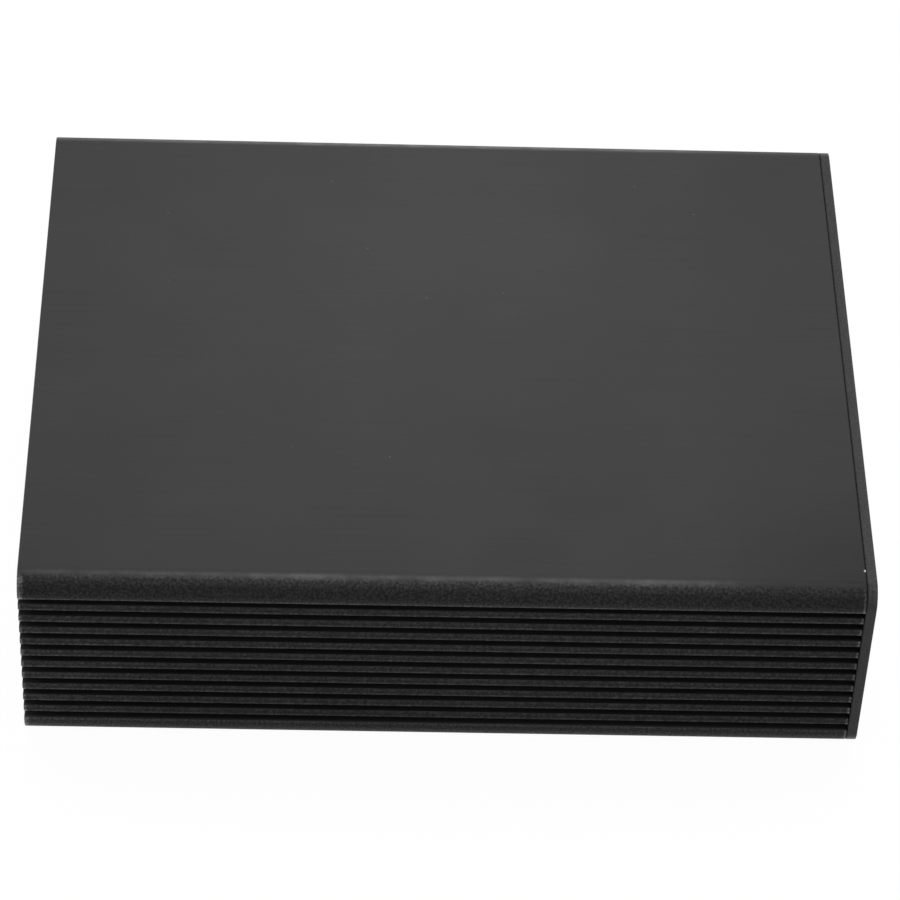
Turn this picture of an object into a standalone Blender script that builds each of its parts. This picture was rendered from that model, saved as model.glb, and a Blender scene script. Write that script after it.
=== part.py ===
"""Extruded aluminium project enclosure with one screwed end plate and an open left end.

The body is one extruded length: ribbed sides, board slots and C-shaped screw ports are all in
its section. Metres, +Z up. The extrusion runs along X, the front is -Y, and the origin is the
middle of the base. Run it with blender --background --python part.py, or from the text editor.
"""

import math

import bmesh
import bpy
from mathutils import Matrix, Vector

# Outside of the body extrusion
BODY_LENGTH = 0.1002
BODY_WIDTH = 0.0812
BODY_HEIGHT = 0.0273
CORNER_RADIUS = 0.0026
CORNER_FLAT = 0.00055  # upright band between a corner's round and the nearest groove
END_CHAMFER = 0.0001  # saw burr broken off both ends

# Cooling grooves along the front and the back
GROOVE_WIDTH = 0.0010
GROOVE_DEPTH = 0.0012
RIB_WIDTH = 0.0010
RIB_SETBACK = 0.00015  # the ribs stand this far behind the plain bands above and below them
RIB_EDGE_RADIUS = 0.00012
GROOVE_ROOT_RADIUS = 0.0002

# Walls round the cavity
TOP_WALL = 0.0015
BOTTOM_WALL = 0.0015
SIDE_WEB = 0.0015  # wall left behind a groove

# Slots that hold a circuit board by its edges
BOARD_THICKNESS = 0.0016
BOARD_CLEARANCE = 0.0002
RAIL_THICKNESS = 0.0010
RAIL_DEPTH = 0.0020
RAIL_EDGE_RADIUS = 0.0003
RAIL_ROOT_RADIUS = 0.0002
RAIL_MARGIN = 0.0004  # least height between a screw port and the nearest rail
BOARD_LEVEL_GAP = 0.0052  # clear height between the rails of one level and the next

# Thread-forming countersunk screws of the end plate
SCREW_LENGTH = 0.0080
SHANK_DIAMETER = 0.0020
HEAD_DIAMETER = 0.0042
HEAD_RIM = 0.0001
HEAD_SINK = 0.00005  # depth of the head's face below the plate's face
TIP_LENGTH = 0.0006
TIP_DIAMETER = 0.0010
RECESS_SPAN = 0.0023
RECESS_WING = 0.0007
RECESS_DEPTH = 0.0009
RECESS_TAPER = 0.45  # size of the cross recess's floor, as a share of its mouth
SCREW_TURNS = {"front_top": 12, "front_bottom": 57, "back_top": 33, "back_bottom": 78}

# Screw ports in the four inner corners
PORT_WALL = 0.0012
PORT_SINK = 0.0005  # how far the port's ring runs into the two walls beside it
PORT_FILLET = 0.0004  # where a port's ring meets the walls
PORT_MOUTH = 0.0010  # width of the slit along the port
PORT_MOUTH_ANGLE = math.radians(225)  # the slit of the top right port faces the cavity

# End plate
PLATE_THICKNESS = 0.0012
PLATE_EDGE_BREAK = 0.0001

# Fits
PLATE_GAP = 0.00005  # seam between the body and the end plate
SCREW_GAP = 0.0002  # round a shank in its port and under a countersunk head
PLATE_HOLE_CLEARANCE = 0.00035

# How finely round shapes are cut
CHORD_ERROR = 0.000012
TURNED_STEPS = 32
SMOOTH_UNDER = math.radians(35)
WELD = 0.000001
COUNT_SLACK = 0.000001  # share of a pitch, so that copies that fit exactly are all counted

# Sizes and places that follow from these
TOTAL_LENGTH = BODY_LENGTH + PLATE_GAP + PLATE_THICKNESS
LEFT_END = -TOTAL_LENGTH / 2
RIGHT_END = LEFT_END + BODY_LENGTH
PLATE_INNER = RIGHT_END + PLATE_GAP
PLATE_OUTER = PLATE_INNER + PLATE_THICKNESS
MID_HEIGHT = BODY_HEIGHT / 2
HALF_WIDTH = BODY_WIDTH / 2
CAVITY_SIDE = HALF_WIDTH - GROOVE_DEPTH - SIDE_WEB
CAVITY_TOP = MID_HEIGHT - TOP_WALL
CAVITY_BOTTOM = BOTTOM_WALL - MID_HEIGHT
SHANK_RADIUS = SHANK_DIAMETER / 2
HEAD_RADIUS = HEAD_DIAMETER / 2
PORT_BORE_RADIUS = SHANK_RADIUS + SCREW_GAP
PORT_RADIUS = PORT_BORE_RADIUS + PORT_WALL
PORT_Y = CAVITY_SIDE - PORT_RADIUS + PORT_SINK
PORT_TOP_Z = CAVITY_TOP - PORT_RADIUS + PORT_SINK
PORT_BOTTOM_Z = CAVITY_BOTTOM + PORT_RADIUS - PORT_SINK
SLOT_WIDTH = BOARD_THICKNESS + BOARD_CLEARANCE
HEAD_FACE = PLATE_OUTER - HEAD_SINK

# Turns a section drawn in X and Y, and extruded along Z, so that it lies in Y and Z along X
LENGTHWISE = Matrix(((0, 0, 1, 0), (1, 0, 0, 0), (0, 1, 0, 0), (0, 0, 0, 1)))


def clear_scene():
    for obj in list(bpy.data.objects):
        bpy.data.objects.remove(obj, do_unlink=True)


def collection(name):
    made = bpy.data.collections.new(name)
    bpy.context.scene.collection.children.link(made)
    return made


def metal(name, colour, metallic, roughness):
    material = bpy.data.materials.new(name)
    material.use_nodes = True
    material.diffuse_color = (*colour, 1.0)
    shader = material.node_tree.nodes["Principled BSDF"]
    shader.inputs["Base Color"].default_value = (*colour, 1.0)
    shader.inputs["Metallic"].default_value = metallic
    shader.inputs["Roughness"].default_value = roughness
    return material


def arc(centre, radius, start, sweep):
    """Points along an arc, both ends included, close enough to the true round."""
    step = 2 * math.acos(1 - CHORD_ERROR / radius)
    count = max(2, math.ceil(abs(sweep) / step))
    angles = (start + sweep * index / count for index in range(count + 1))
    return [centre + radius * Vector((math.cos(angle), math.sin(angle))) for angle in angles]


def corner(across, up, radius=0.0):
    return Vector((across, up)), radius


def fillet(before, here, after, radius):
    """The arc of this radius that touches both straight sides that meet at a corner."""
    back = (before - here).normalized()
    ahead = (after - here).normalized()
    half_angle = back.angle(ahead) / 2
    centre = here + (back + ahead).normalized() * radius / math.sin(half_angle)
    first = here + back * radius / math.tan(half_angle) - centre
    last = here + ahead * radius / math.tan(half_angle) - centre
    sweep = math.atan2(first.cross(last), first.dot(last))
    return arc(centre, radius, math.atan2(first.y, first.x), sweep)


def outline(corners):
    """A closed outline's points, with each corner that has a radius rounded."""
    points = []
    for index, (here, radius) in enumerate(corners):
        before = corners[index - 1][0]
        after = corners[(index + 1) % len(corners)][0]
        points += fillet(before, here, after, radius) if radius else [here]
    return points


def mirrored(corners, across=1, up=1):
    """Corners on the other side of one axis, in the order that keeps the outline going round."""
    flipped = [(Vector((point.x * across, point.y * up)), radius) for point, radius in corners]
    return flipped if across * up > 0 else flipped[::-1]


def groove_levels():
    """Heights of the grooves' middles above mid-height: as many as fit between the corners."""
    room = BODY_HEIGHT - 2 * (CORNER_RADIUS + CORNER_FLAT)
    pitch = GROOVE_WIDTH + RIB_WIDTH
    count = math.floor((room + RIB_WIDTH) / pitch + COUNT_SLACK)
    return [(index - (count - 1) / 2) * pitch for index in range(count)]


def ribbed_side():
    """The right side of the body's outside, from the lowest groove to the highest."""
    floor = HALF_WIDTH - GROOVE_DEPTH
    rib_face = HALF_WIDTH - RIB_SETBACK
    half = GROOVE_WIDTH / 2
    levels = groove_levels()
    corners = []
    for level in levels:
        below = HALF_WIDTH if level == levels[0] else rib_face
        above = HALF_WIDTH if level == levels[-1] else rib_face
        corners.append(corner(below, level - half, RIB_EDGE_RADIUS))
        corners.append(corner(floor, level - half, GROOVE_ROOT_RADIUS))
        corners.append(corner(floor, level + half, GROOVE_ROOT_RADIUS))
        corners.append(corner(above, level + half, RIB_EDGE_RADIUS))
    return corners


def body_outside():
    bottom = [corner(HALF_WIDTH, -MID_HEIGHT, CORNER_RADIUS)]
    top = [corner(HALF_WIDTH, MID_HEIGHT, CORNER_RADIUS)]
    right = bottom + ribbed_side() + top
    return outline(right + mirrored(right, across=-1))


def slot_levels():
    """Heights of the board slots' middles: as many as fit between the upper and lower ports."""
    reach = PORT_RADIUS + RAIL_MARGIN + RAIL_THICKNESS + SLOT_WIDTH / 2
    top = PORT_TOP_Z - reach
    bottom = PORT_BOTTOM_Z + reach
    pitch = SLOT_WIDTH + 2 * RAIL_THICKNESS + BOARD_LEVEL_GAP
    count = 1 + math.floor((top - bottom) / pitch)
    middle = (top + bottom) / 2
    return [middle + (index - (count - 1) / 2) * pitch for index in range(count)]


def railed_side():
    """The cavity's right side, from the lowest rail to the highest. Two rails make a slot."""
    tip = CAVITY_SIDE - RAIL_DEPTH
    corners = []
    for level in slot_levels():
        for lower in (level - SLOT_WIDTH / 2 - RAIL_THICKNESS, level + SLOT_WIDTH / 2):
            upper = lower + RAIL_THICKNESS
            corners.append(corner(CAVITY_SIDE, lower, RAIL_ROOT_RADIUS))
            corners.append(corner(tip, lower, RAIL_EDGE_RADIUS))
            corners.append(corner(tip, upper, RAIL_EDGE_RADIUS))
            corners.append(corner(CAVITY_SIDE, upper, RAIL_ROOT_RADIUS))
    return corners


def screw_port():
    """The C-shaped port in the cavity's top right corner, from the side wall to the top wall.

    The outline leaves the side wall in a fillet, goes round the outside of the ring, in through
    the slit, round the bore and out again, and on round the ring to the fillet at the top wall.
    """
    centre = Vector((PORT_Y, PORT_TOP_Z))
    aside = PORT_RADIUS - PORT_SINK - PORT_FILLET
    below = math.sqrt((PORT_RADIUS + PORT_FILLET) ** 2 - aside**2)
    nook = math.atan2(below, aside)
    outer_lip = math.asin(PORT_MOUTH / 2 / PORT_RADIUS)
    inner_lip = math.asin(PORT_MOUTH / 2 / PORT_BORE_RADIUS)
    first_lip = PORT_MOUTH_ANGLE + outer_lip
    last_lip = PORT_MOUTH_ANGLE - outer_lip
    side = 2 * math.pi - nook
    top = math.pi / 2 + nook
    points = arc(centre + Vector((aside, -below)), PORT_FILLET, 0, math.pi - nook)
    points += arc(centre, PORT_RADIUS, side, first_lip - side)
    points += arc(
        centre, PORT_BORE_RADIUS, PORT_MOUTH_ANGLE + inner_lip, 2 * math.pi - 2 * inner_lip
    )
    points += arc(centre, PORT_RADIUS, last_lip, top - last_lip)
    points += arc(
        centre + Vector((-below, aside)), PORT_FILLET, nook - math.pi / 2, math.pi - nook
    )
    return [(point, 0.0) for point in points]


def cavity():
    """The outline of the hollow: ports in its four corners, board slots between them."""
    top_port = screw_port()
    drop = Vector((0, PORT_TOP_Z + PORT_BOTTOM_Z))
    bottom_port = [(point + drop, radius) for point, radius in mirrored(top_port, up=-1)]
    right = bottom_port + railed_side() + top_port
    return outline(right + mirrored(right, across=-1))


def plate_outside():
    right = [corner(HALF_WIDTH, level, CORNER_RADIUS) for level in (-MID_HEIGHT, MID_HEIGHT)]
    return outline(right + mirrored(right, across=-1))


def shade(mesh):
    mesh.shade_smooth()
    mesh.set_sharp_from_angle(angle=SMOOTH_UNDER)


def mesh_from(obj):
    """The object's shape with its modifiers, as a mesh whose loose seams are welded."""
    graph = bpy.context.evaluated_depsgraph_get()
    mesh = bpy.data.meshes.new_from_object(obj.evaluated_get(graph))
    work = bmesh.new()
    work.from_mesh(mesh)
    bmesh.ops.remove_doubles(work, verts=work.verts, dist=WELD)
    work.to_mesh(mesh)
    work.free()
    return mesh


def extrusion(name, outlines, start, end, chamfer, group, material):
    """A length of section from start to end along X, with both ends chamfered."""
    curve = bpy.data.curves.new(name, "CURVE")
    curve.dimensions = "2D"
    curve.fill_mode = "BOTH"
    curve.extrude = (end - start) / 2 - chamfer
    curve.bevel_depth = chamfer
    curve.bevel_resolution = 0
    curve.offset = -chamfer
    for points in outlines:
        spline = curve.splines.new("POLY")
        spline.points.add(len(points) - 1)
        for target, point in zip(spline.points, points):
            target.co = (point.x, point.y, 0, 1)
        spline.use_cyclic_u = True
    drawn = bpy.data.objects.new(name + "_section", curve)
    group.objects.link(drawn)
    place = Matrix.Translation(((start + end) / 2, 0, MID_HEIGHT)) @ LENGTHWISE
    drawn.matrix_world = place
    bpy.context.view_layer.update()
    mesh = mesh_from(drawn)
    mesh.name = name
    bpy.data.objects.remove(drawn, do_unlink=True)
    bpy.data.curves.remove(curve)
    shade(mesh)
    obj = bpy.data.objects.new(name, mesh)
    obj.matrix_world = place
    obj.data.materials.clear()
    obj.data.materials.append(material)
    group.objects.link(obj)
    return obj


def turned(name, profile, group):
    """A turned piece about its own Z. The profile runs from its top to its bottom."""
    mesh = bpy.data.meshes.new(name)
    points = [(radius, 0, height) for radius, height in profile]
    mesh.from_pydata(points, [(index, index + 1) for index in range(len(points) - 1)], [])
    obj = bpy.data.objects.new(name, mesh)
    group.objects.link(obj)
    screw = obj.modifiers.new("Turn", "SCREW")
    screw.steps = screw.render_steps = TURNED_STEPS
    screw.use_merge_vertices = True
    screw.merge_threshold = WELD
    return obj


def as_cutter(obj):
    obj.hide_render = True
    obj.display_type = "WIRE"


def cut(obj, cutter):
    boolean = obj.modifiers.new("Cut " + cutter.name, "BOOLEAN")
    boolean.operation = "DIFFERENCE"
    boolean.solver = "EXACT"
    boolean.object = cutter


def port_places():
    """Each screw's name and place: the middle of a port, where the head's face lies."""
    for name in SCREW_TURNS:
        side, level = name.split("_")
        across = -PORT_Y if side == "front" else PORT_Y
        up = PORT_TOP_Z if level == "top" else PORT_BOTTOM_Z
        yield name, Vector((HEAD_FACE, across, MID_HEIGHT + up))


def build_body(group, material):
    section = [body_outside(), cavity()]
    return extrusion("body_extrusion", section, LEFT_END, RIGHT_END, END_CHAMFER, group, material)


def build_end_plate(group, cutters, material):
    section = [plate_outside()]
    plate = extrusion(
        "end_plate", section, PLATE_INNER, PLATE_OUTER, PLATE_EDGE_BREAK, group, material
    )
    hole = SHANK_RADIUS + PLATE_HOLE_CLEARANCE
    mouth = HEAD_RADIUS + HEAD_RIM + SCREW_GAP * math.sqrt(2)
    over = PLATE_THICKNESS
    through = -HEAD_SINK - PLATE_THICKNESS - over
    profile = [(0, over), (mouth + over, over), (hole, hole - mouth), (hole, through), (0, through)]
    for name, place in port_places():
        cutter = turned("countersink_" + name, profile, cutters)
        cutter.matrix_world = Matrix.Translation(place) @ LENGTHWISE
        as_cutter(cutter)
        cut(plate, cutter)
    return plate


def screw_mesh(group, cutters):
    """One countersunk screw about Z, its head's face at zero, with a tapered cross recess."""
    neck = SHANK_RADIUS - HEAD_RADIUS - HEAD_RIM
    profile = [
        (0, 0),
        (HEAD_RADIUS, 0),
        (HEAD_RADIUS, -HEAD_RIM),
        (SHANK_RADIUS, neck),
        (SHANK_RADIUS, TIP_LENGTH - SCREW_LENGTH),
        (TIP_DIAMETER / 2, -SCREW_LENGTH),
        (0, -SCREW_LENGTH),
    ]
    blank = turned("screw_blank", profile, group)
    recess = cross_recess(cutters)
    cut(blank, recess)
    bpy.context.view_layer.update()
    mesh = mesh_from(blank)
    mesh.name = "plate_screw"
    for obj in (blank, recess):
        bpy.data.objects.remove(obj, do_unlink=True)
    shade(mesh)
    return mesh


def cross_recess(cutters):
    """The driver recess as a cutter: two crossed wings that narrow towards their floor."""
    work = bmesh.new()
    span = RECESS_SPAN / 2
    wing = RECESS_WING / 2
    quarter = [(span, wing), (wing, wing), (wing, span)]
    points = []
    for turn in range(4):
        spin = Matrix.Rotation(turn * math.pi / 2, 2)
        points += [spin @ Vector(point) for point in quarter]
    grow = 2 - RECESS_TAPER  # as far above the head's face as the floor is below it
    rings = []
    for scale, height in ((RECESS_TAPER, -RECESS_DEPTH), (grow, RECESS_DEPTH)):
        rings.append([work.verts.new((point.x * scale, point.y * scale, height)) for point in points])
    lower, upper = rings
    work.faces.new(lower[::-1])
    work.faces.new(upper)
    for index in range(len(points)):
        after = (index + 1) % len(points)
        work.faces.new((lower[index], lower[after], upper[after], upper[index]))
    mesh = bpy.data.meshes.new("cross_recess")
    work.to_mesh(mesh)
    work.free()
    obj = bpy.data.objects.new("cross_recess", mesh)
    cutters.objects.link(obj)
    as_cutter(obj)
    return obj


def build_screws(group, cutters, material):
    mesh = screw_mesh(group, cutters)
    mesh.materials.clear()
    mesh.materials.append(material)
    screws = []
    for name, place in port_places():
        screw = bpy.data.objects.new("plate_screw_" + name, mesh)
        turn = Matrix.Rotation(math.radians(SCREW_TURNS[name]), 4, "Z")
        screw.matrix_world = Matrix.Translation(place) @ LENGTHWISE @ turn
        group.objects.link(screw)
        screws.append(screw)
    return screws


def main():
    clear_scene()
    parts = collection("project_enclosure")
    cutters = collection("cutters")
    anodised = metal("black_anodised_aluminium", (0.040, 0.040, 0.041), 0.35, 0.48)
    blackened = metal("black_oxide_steel", (0.030, 0.030, 0.031), 0.7, 0.38)
    pieces = [build_body(parts, anodised), build_end_plate(parts, cutters, anodised)]
    pieces += build_screws(parts, cutters, blackened)
    base = bpy.data.objects.new("enclosure_base", None)
    parts.objects.link(base)
    for piece in pieces:
        piece.parent = base
    bpy.context.view_layer.update()


main()
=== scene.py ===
"""The finish of an extruded aluminium project enclosure: ribbed body, end plate and its screws.

It is laid out as an add-on and run as a script. Metres, +Z up. The extrusion runs along X, the
front is -Y, the plate closes the +X end, and the -X end is open.
"""

import math
from functools import cached_property

import bmesh
import bpy
from bpy.props import FloatProperty, FloatVectorProperty, IntProperty, PointerProperty
from mathutils import Matrix, Vector


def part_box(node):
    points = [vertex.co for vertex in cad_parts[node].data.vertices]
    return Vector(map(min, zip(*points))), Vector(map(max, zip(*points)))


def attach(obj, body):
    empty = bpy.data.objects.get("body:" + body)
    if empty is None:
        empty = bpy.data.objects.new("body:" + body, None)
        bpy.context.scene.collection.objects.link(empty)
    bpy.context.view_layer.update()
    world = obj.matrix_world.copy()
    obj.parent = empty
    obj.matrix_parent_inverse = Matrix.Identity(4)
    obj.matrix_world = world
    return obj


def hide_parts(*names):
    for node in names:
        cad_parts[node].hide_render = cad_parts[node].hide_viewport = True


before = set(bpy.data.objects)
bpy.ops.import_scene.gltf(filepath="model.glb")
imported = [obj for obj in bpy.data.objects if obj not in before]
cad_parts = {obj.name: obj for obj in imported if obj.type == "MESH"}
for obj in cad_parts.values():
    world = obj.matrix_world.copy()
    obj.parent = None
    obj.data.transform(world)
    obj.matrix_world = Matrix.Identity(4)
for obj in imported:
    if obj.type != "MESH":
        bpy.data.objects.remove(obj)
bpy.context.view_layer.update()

bl_info = {
    "name": "Ribbed Project Enclosure",
    "version": (1, 0, 0),
    "blender": (4, 5, 0),
    "location": "3D View > Sidebar > Enclosure",
    "description": "Dresses an extruded project enclosure: ribbed body, end plate and screws",
    "category": "Object",
}

# What the frame gives
BODY_LOW, BODY_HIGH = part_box("body_extrusion")
PLATE_LOW, PLATE_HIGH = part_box("end_plate")
SCREW_NODES = sorted(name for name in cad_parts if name.startswith("plate_screw_"))
HALF_WIDTH = BODY_HIGH.y
MID_HEIGHT = (BODY_LOW.z + BODY_HIGH.z) / 2
HALF_HEIGHT = BODY_HIGH.z - MID_HEIGHT
BODY = "root"

# Turns a section drawn in X and Y, and run along Z, so that it lies in Y and Z along X
LENGTHWISE = Matrix(((0, 0, 1, 0), (1, 0, 0, 0), (0, 1, 0, 0), (0, 0, 0, 1)))

CHORD_ERROR = 0.000003  # how far a drawn arc's straight steps lie inside the true round
WELD = 0.0000005
SMOOTH_UNDER = math.radians(35)
PORT_SLIT = math.radians(225)  # the way that the top right port's slit faces, into the cavity

# The screws: how each is turned, the round steps of one, of its countersink and of its thread,
# the length of its tip, and the length without thread under its face, in turns
SCREW_TURNS = {"front_top": 12, "front_bottom": 57, "back_top": 33, "back_bottom": 78}
SCREW_STEPS = 48
COUNTERSINK_STEPS = 64
ROWS_PER_TURN = 10
TIP_LENGTH = 0.0006
PLAIN_TURNS = 1.6
THREAD_RIDGE = (0.04, 0.30)  # where its crest and its flank end, in turns from its middle
ON_SHANK = 0.00002  # how near its radius a point of the shank's wall lies
RECESS_TAPER = 0.45  # the recess's floor against its mouth

# Where the flat top and base give way to the blasted rounds, which are darker partly by their
# finish and partly by painted shade, and where the border between them is palest, partly rubbed
# and partly a painted highlight, told by how upright the surface's normal is, and how ragged the
# border is
SHADED_BORDER = (0.58, 0.82)
BLASTED_BORDER = (0.93, 0.85)
CREST_OUTER = (0.82, 0.945)
CREST_INNER = (0.995, 0.955)
BORDER_RAGGEDNESS = 0.016

# Where the sawn ends give way to their broken edges, and the plate's edge to its faces, told by
# how far the normal lies along
SAWN_BORDER = (0.60, 0.90)
PLATE_FACE_BORDER = (0.5, 0.8)

# The middle of a plate corner's round, told by its normal's sideways share times its upright one
ROUND_MIDDLE = (0.20, 0.42)

# The lower band has painted light from the floor, paler towards its foot: its top and the fade as
# heights above the base, how deep from the side it reaches, and the share of the paleness that the
# fade starts from
LOW_BAND_TOP = 0.0033
LOW_BAND_FADE = (0.0026, 0.0009)
FOOT_DEPTH = 0.0016
FOOT_LEAST = 0.2

# A painted pool of light: the top is palest round this point, and darkens outwards over this reach
# and by this share
PAINTED_POOL_PLACE = (0.001, 0.021, 0.0273)
PAINTED_POOL_REACH = 0.080
PAINTED_POOL_CHANGE = 0.36

# Darker patches on the top, as (along, back, reach, shade in the middle)
DARK_PATCHES = (
    (0.0480, -0.0385, 0.017, 0.76),
    (-0.0500, -0.0390, 0.010, 0.95),
    (0.0085, -0.0360, 0.007, 0.92),
    (0.0390, 0.0335, 0.009, 0.92),
)

# How upright the normal is where the pale rims at the sawn ends begin and where they are palest;
# the rims are partly rubbed and partly a painted highlight on the broken edges
OPEN_RIM_START = (0.89, 0.78)
RIM_START = (0.95, 0.30)
LOWER_RIM_SHARE = 0.5  # how pale the open end's lower front corner is against the upper one

# The front's ribs carry painted light towards the open end and towards the foot, as places along
# the body and heights above the base. The least is at the top rib, and the foot has its share.
OPEN_END_LIGHT_LENGTH = (-0.0430, -0.0330)
OPEN_END_LIGHT_HEIGHT = (0.0230, 0.0120)
OPEN_END_LIGHT_LEAST = 1 / 3
OPEN_END_LIGHT_FOOT = 0.7
LOW_RIBS = (0.0130, 0.0040)

# Where along the body the pale border of the flats, partly rubbed and partly painted highlight, is
# fainter, as (from, to, share at the near end)
OPEN_END_FADE = (-0.0500, -0.0150, 0.42)
PLATE_END_FADE = (0.0370, 0.0270, 0.2)

# Dust grains on the top, as (along, back, radius), and the chips in the edges at the plate
DUST_PLACES = (
    (-0.0099, 0.0185, 0.00022),
    (-0.0070, -0.0189, 0.00018),
    (-0.0024, 0.0095, 0.00019),
    (0.0322, 0.0263, 0.00016),
    (0.0248, 0.0315, 0.00017),
    (0.0073, 0.0106, 0.00017),
    (-0.0355, 0.0246, 0.00017),
    (-0.0146, 0.0313, 0.00017),
    (-0.0350, 0.0118, 0.00013),
    (-0.0372, -0.0227, 0.00010),
    (-0.0188, -0.0176, 0.00010),
)
CHIPS = (
    ((0.0494, -0.03656, 0.02725), 0.00022),
    ((0.0492, -0.04035, 0.00190), 0.00012),
)
SPOT_CORE = 0.6  # the share of a grain's or chip's radius that has its full colour

# The sheared plate is paler along its outer edge, and has a painted highlight on its corners and
# along a line inside them
BURR_WIDTH = 0.00045
BURR_SHADE = 1.35
LINE_WIDTH = 0.00022
CORNER_LINE_HIGHLIGHT = 1.45
PLATE_CORNER_HIGHLIGHT = 1.8

# Noise values between which a pattern comes on, and what it is there where that isn't 0 and 1
NOISE_SPREAD = (0.25, 0.75)
CREST_PATCHES = (0.35, 0.60, 0.45)
CREST_STRETCHES = (0.40, 0.55, 0.70)
EDGE_PATCHES = (0.30, 0.60, 0.7, 1.1)
MOTTLE_SPREAD = (0.4, 0.7)
ROUGHNESS_SPREAD = (0.3, 0.7)
ROUGHNESS_CHANGE = 0.04

# How many times longer than wide the drawn, sawn and sheared lines are
DIE_LINE_LENGTH = 90
SAW_LINE_LENGTH = 30
STREAK_LENGTH = 14
STREAK_FINENESS = 1.5  # how many times finer the sheared streaks are than the drawn lines

# The relief of the plate's edge and faces and of the screws, against the body's
PLATE_RELIEF = (0.15, 0.5)
SCREW_RELIEF = 1 / 6

# The light tent's dark opening: how far it faces up from level, and its soft edge
OPENING_RISE = math.radians(15)
OPENING_EDGE = (0.0, 0.6)
FLOOR_LIGHT = 0.6  # the light that the floor's shadow is taken from

# The camera's place, and the point of the top face that it looks at
CAMERA_PLACE = (-0.0150, -0.3668, 0.3766)
CAMERA_AIM = (0.00032, -0.01757, 0.0273)
CAMERA_ROLL = math.radians(2.83)


def length(label, default, text):
    """A size that the sidebar can change."""
    return FloatProperty(
        name=label, description=text, default=default, min=0, precision=5, unit="LENGTH"
    )


def colour(label, default, text):
    return FloatVectorProperty(
        name=label, description=text, default=default, size=3, min=0, max=1, subtype="COLOR"
    )


def share(label, default, text):
    return FloatProperty(
        name=label, description=text, default=default, min=0, max=1, subtype="FACTOR"
    )


def level(label, default, text):
    return FloatProperty(name=label, description=text, default=default, min=0, max=5)


def count(label, default, least, most, text):
    return IntProperty(name=label, description=text, default=default, min=least, max=most)


class EnclosureSizes(bpy.types.PropertyGroup):
    """Sizes of the section, of the broken edges and of the screws."""

    corner_radius: length("Corner Radius", 0.0026, "Round along the four long edges")
    edge_round: length("Edge Round", 0.00012, "Round on the sawn ends of the body")
    edge_steps: count("Edge Steps", 4, 1, 12, "Facets of each broken edge")
    groove_count: count("Grooves", 11, 2, 40, "Cooling grooves on each side")
    groove_width: length("Groove Width", 0.0010, "Clear width of a cooling groove")
    groove_depth: length("Groove Depth", 0.0012, "Depth of a groove below the plain bands")
    rib_width: length("Rib Width", 0.0010, "Width of a rib between two grooves")
    rib_setback: length("Rib Setback", 0.00015, "How far the ribs stand behind the bands")
    rib_edge_radius: length("Rib Edge Radius", 0.00012, "Round on the ribs' long edges")
    groove_root_radius: length("Groove Root Radius", 0.0002, "Round at a groove's floor")
    wall: length("Wall", 0.0015, "Top and bottom walls, and the web behind the grooves")
    slot_width: length("Board Slot Width", 0.0018, "Clear width of a circuit board's slot")
    slot_offset: length("Board Slot Offset", 0.0045, "Slot's middle from mid-height")
    rail_thickness: length("Rail Thickness", 0.0010, "Thickness of a board rail")
    rail_depth: length("Rail Depth", 0.0020, "How far a board rail stands off the side wall")
    rail_edge_radius: length("Rail Edge Radius", 0.0003, "Round on a rail's edges")
    rail_root_radius: length("Rail Root Radius", 0.0002, "Round where a rail meets the wall")
    port_bore_radius: length("Port Bore Radius", 0.0012, "Inside of a screw port")
    port_wall: length("Port Wall", 0.0012, "Wall of a screw port's ring")
    port_sink: length("Port Sink", 0.0005, "How far a port's ring runs into the walls")
    port_fillet: length("Port Fillet", 0.0004, "Fillet between a port's ring and a wall")
    port_mouth: length("Port Mouth", 0.0010, "Width of the slit along a port")
    plate_edge_round: length("Plate Edge Round", 0.0001, "Round on the plate's edges")
    hole_radius: length("Plate Hole Radius", 0.00135, "Bore of a plate hole under its countersink")
    head_radius: length("Head Radius", 0.0021, "Countersunk head of a plate screw")
    head_gap: length("Head Gap", 0.00038, "Room round a head at the mouth of its countersink")
    head_rim: length("Head Rim", 0.0001, "Straight rim of a countersunk head")
    shank_radius: length("Shank Radius", 0.0010, "Root of the screw's thread")
    screw_length: length("Screw Length", 0.0080, "Whole length of a plate screw")
    thread_pitch: length("Thread Pitch", 0.0008, "Advance of the thread in one turn")
    thread_height: length("Thread Height", 0.00014, "Height of the thread over its root")
    recess_span: length("Recess Span", 0.0023, "Width across the cross recess")
    recess_wing: length("Recess Wing", 0.0007, "Width of a wing of the recess")
    recess_depth: length("Recess Depth", 0.0009, "Depth of the cross recess")


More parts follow.
